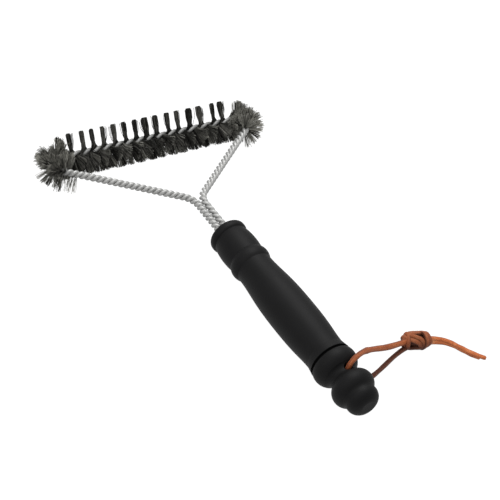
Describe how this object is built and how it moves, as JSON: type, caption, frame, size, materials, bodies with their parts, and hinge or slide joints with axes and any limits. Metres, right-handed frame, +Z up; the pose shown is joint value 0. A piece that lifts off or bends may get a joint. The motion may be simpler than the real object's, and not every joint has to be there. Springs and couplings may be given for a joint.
{
  "type": "grill cleaning brush",
  "caption": "Grill cleaning brush with a triangular twisted-wire head, steel bristles along its bar and round both corners, a turned black grip and a knotted leather hanging lace.",
  "frame": {"origin": "on the surface the brush lies on, under the middle of the brush without its lace", "axes": "+Y along the grip towards the head, +X across the head, +Z up from the surface"},
  "size_m": [0.2149, 0.305, 0.0323],
  "materials": {
    "grip_plastic": "satin moulded",
    "resin": "cast, matt",
    "frame_wire": "bright galvanised",
    "bristles": "fine drawn wire, dark",
    "lace_leather": "rough cut thong"
  },
  "bodies": {
    "root": {"bristle_bundle_01": "bristles", "bristle_bundle_02": "bristles", "bristle_bundle_03": "bristles", "bristle_bundle_04": "bristles", "bristle_bundle_05": "bristles", "bristle_bundle_06": "bristles", "bristle_bundle_07": "bristles", "bristle_bundle_08": "bristles", "bristle_bundle_09": "bristles", "bristle_bundle_10": "bristles", "bristle_bundle_11": "bristles", "bristle_bundle_12": "bristles", "bristle_bundle_13": "bristles", "bristle_bundle_14": "bristles", "bristle_bundle_15": "bristles", "handle_grip": "grip_plastic", "lace_knot": "lace_leather", "lace_lower_half": "lace_leather", "lace_upper_half": "lace_leather", "left_bristle_fan": "bristles", "right_bristle_fan": "bristles", "socket_resin": "resin", "wire_a_bar": "frame_wire", "wire_a_left_arm": "frame_wire", "wire_a_left_corner": "frame_wire", "wire_a_left_stem": "frame_wire", "wire_a_right_arm": "frame_wire", "wire_a_right_corner": "frame_wire", "wire_a_right_stem": "frame_wire", "wire_b_bar": "frame_wire", "wire_b_left_arm": "frame_wire", "wire_b_left_corner": "frame_wire", "wire_b_left_stem": "frame_wire", "wire_b_right_arm": "frame_wire", "wire_b_right_corner": "frame_wire", "wire_b_right_stem": "frame_wire"}
  },
  "joints": []
}
